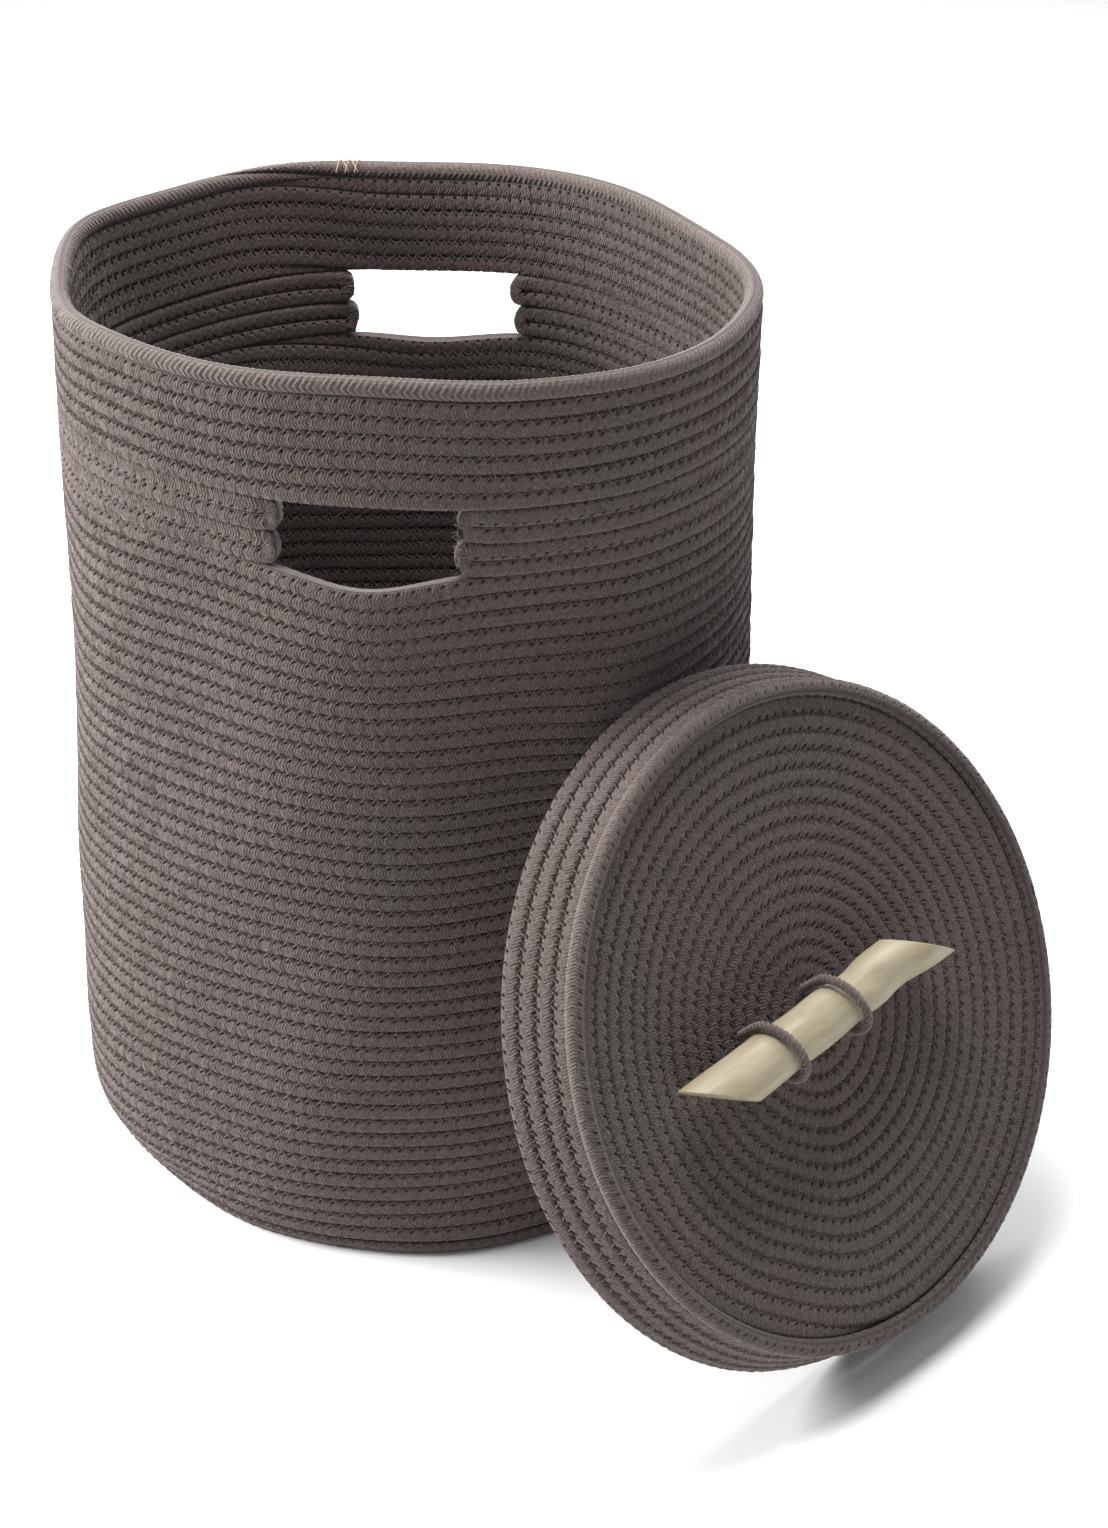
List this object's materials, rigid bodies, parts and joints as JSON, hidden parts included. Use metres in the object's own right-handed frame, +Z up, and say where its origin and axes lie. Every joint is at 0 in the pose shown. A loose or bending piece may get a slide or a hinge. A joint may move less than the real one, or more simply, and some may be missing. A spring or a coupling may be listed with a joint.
{
  "type": "lidded rope storage basket",
  "caption": "Tall round basket of coiled, sewn cotton rope with hand slots, and its separate lid with a wooden toggle, leaning beside it.",
  "frame": {"origin": "middle of the outline of basket and leaning lid, on the floor", "axes": "+Z up; -Y is the front, towards which one hand slot faces; the lid leans at the front right, +X and -Y of the basket"},
  "size_m": [0.5823, 0.5641, 0.5445],
  "materials": {
    "cotton_rope": "matte braided cotton rope, dark taupe with uneven dye",
    "toggle_cord": "matte twisted cotton cord, brown",
    "toggle_wood": "smooth peeled pale wood, satin",
    "tack_thread": "matte pale sewing thread"
  },
  "bodies": {
    "basket": {"base_coil": "cotton_rope", "wall_coil": "cotton_rope", "slot_panel_left": "cotton_rope", "slot_panel_right": "cotton_rope", "upper_coil": "cotton_rope", "rim_rope": "cotton_rope"},
    "lid": {"lid_disc_coil": "cotton_rope", "lid_edge_rope": "cotton_rope", "lid_skirt_coil": "cotton_rope", "toggle_cord_left": "toggle_cord", "toggle_cord_right": "toggle_cord"},
    "toggle": {"toggle": "toggle_wood"}
  },
  "joints": [
    {"name": "lid_lift", "type": "slide", "parent": "basket", "child": "lid", "axis": [0, 0, 1], "range_m": [0, 0.58]},
    {"name": "toggle_roll", "type": "hinge", "parent": "lid", "child": "toggle", "pos_m": [0.14241, -0.15148, 0.20301], "axis": [0.6784, 0.7316, 0.0676], "range_deg": [-20, 20]}
  ]
}
